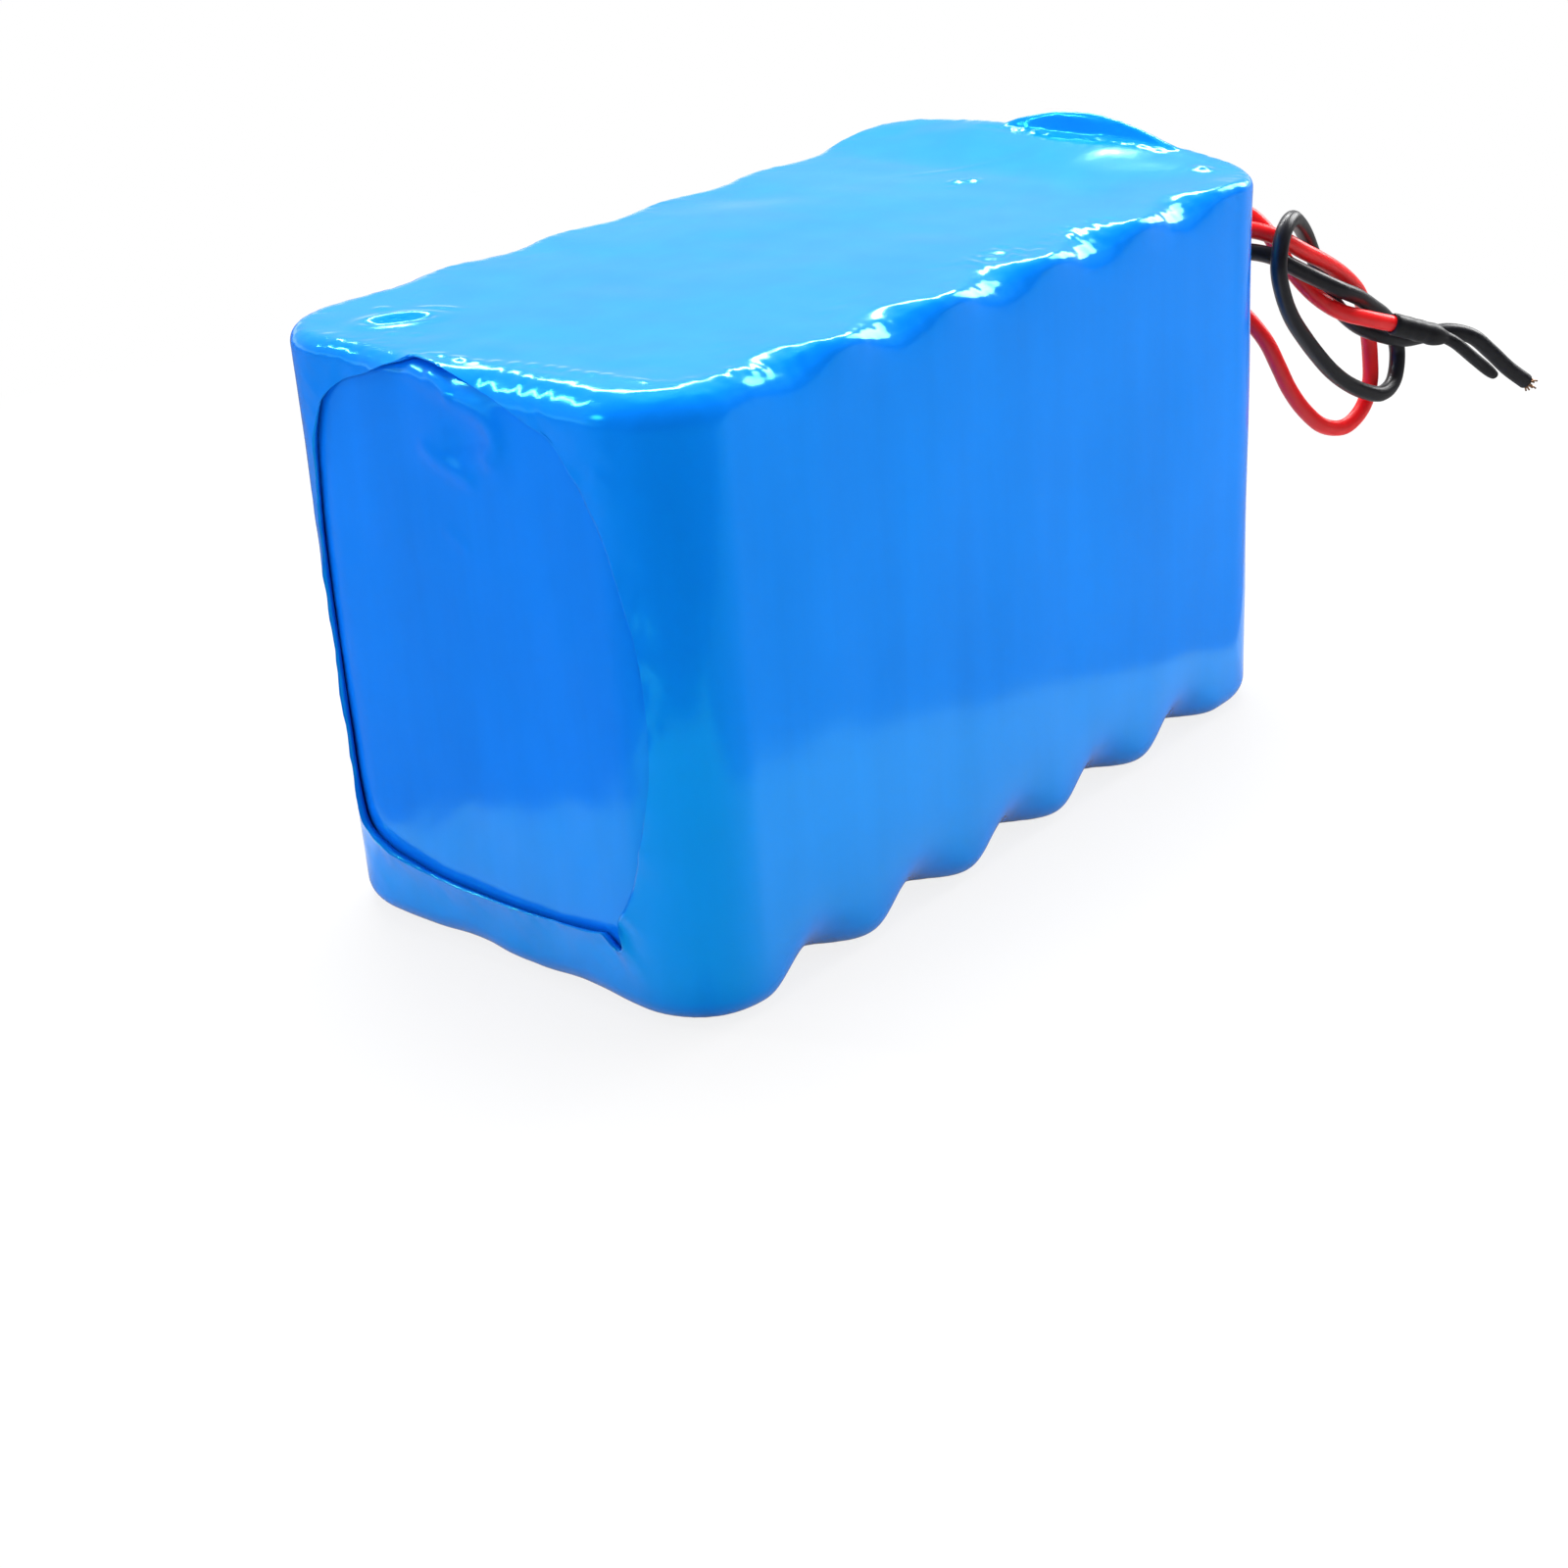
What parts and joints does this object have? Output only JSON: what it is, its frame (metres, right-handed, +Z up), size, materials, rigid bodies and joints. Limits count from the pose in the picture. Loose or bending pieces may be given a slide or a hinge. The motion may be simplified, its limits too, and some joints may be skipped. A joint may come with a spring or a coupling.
{
  "type": "shrink-wrapped battery pack",
  "caption": "Box-shaped rechargeable battery pack of round cells in scalloped blue shrink film, with a red and a black lead at one end.",
  "frame": {"origin": "middle of the flat underside", "axes": "+X along the pack towards the end where the leads come out, +Y towards the long side with the circuit board behind it, +Z up along the cells"},
  "size_m": [0.1672, 0.0729, 0.0706],
  "materials": {
    "outer_film": "glossy shrink film",
    "inner_film": "glossy shrink film",
    "stiff_board": "woven glass and resin",
    "foam": "closed-cell foam",
    "paper": "insulating paper",
    "cell_steel": "nickel-plated can",
    "terminal_steel": "nickel-plated cap",
    "cell_wrapper": "shrunk wrapper",
    "gasket": "moulded",
    "glue": "hot glue",
    "nickel": "cold rolled",
    "circuit_board": "solder mask",
    "adhesive_pad": "soft tape",
    "chip_black": "moulded",
    "white_pvc": "wire insulation",
    "yellow_pvc": "wire insulation",
    "solder": "bright",
    "copper": "tinned copper strands",
    "red_pvc": "wire insulation",
    "black_pvc": "wire insulation",
    "cap_black": "shrunk tube"
  },
  "bodies": {
    "pack": {"outer_sleeve": "outer_film", "inner_sleeve": "inner_film", "top_board": "stiff_board", "bottom_board": "stiff_board", "back_board": "stiff_board", "top_foam_pad": "foam", "bottom_foam_pad": "foam", "back_foam_blocks": "foam", "lead_end_foam": "foam", "top_paper": "paper", "bottom_paper": "paper", "front_sheet": "paper", "near_end_sheet": "paper", "lead_end_sheet": "paper", "insulator_rings": "paper", "cell_a1": "cell_steel", "cell_a2": "cell_steel", "cell_a3": "cell_steel", "cell_a4": "cell_steel", "cell_a5": "cell_steel", "cell_a6": "cell_steel", "cell_b1": "cell_steel", "cell_b2": "cell_steel", "cell_b3": "cell_steel", "cell_b4": "cell_steel", "cell_b5": "cell_steel", "cell_b6": "cell_steel", "cell_c1": "cell_steel", "cell_c2": "cell_steel", "cell_c3": "cell_steel", "cell_c4": "cell_steel", "cell_c5": "cell_steel", "cell_c6": "cell_steel", "cell_caps": "terminal_steel", "cell_wrappers": "cell_wrapper", "cell_gaskets": "gasket", "glue_beads": "glue", "top_positive_strip": "nickel", "top_series_plate": "nickel", "bottom_series_plate": "nickel", "bottom_negative_strip": "nickel", "positive_tab": "nickel", "negative_tab": "nickel", "bms_board": "circuit_board", "bms_pad": "adhesive_pad", "bms_transistors": "chip_black", "bms_control_chips": "chip_black", "bms_resistors": "chip_black", "sense_wire_first": "white_pvc", "sense_wire_second": "yellow_pvc", "solder_joints": "solder", "positive_core": "copper", "negative_core": "copper", "negative_strands": "copper", "positive_lead": "red_pvc", "sense_wire_positive": "red_pvc", "negative_lead": "black_pvc", "negative_lead_inner": "black_pvc"},
    "cap": {"lead_cap": "cap_black"}
  },
  "joints": [
    {"name": "cap_pull", "type": "slide", "parent": "pack", "child": "cap", "axis": [0.8099, -0.4663, -0.3559], "range_m": [0, 0.012]}
  ]
}
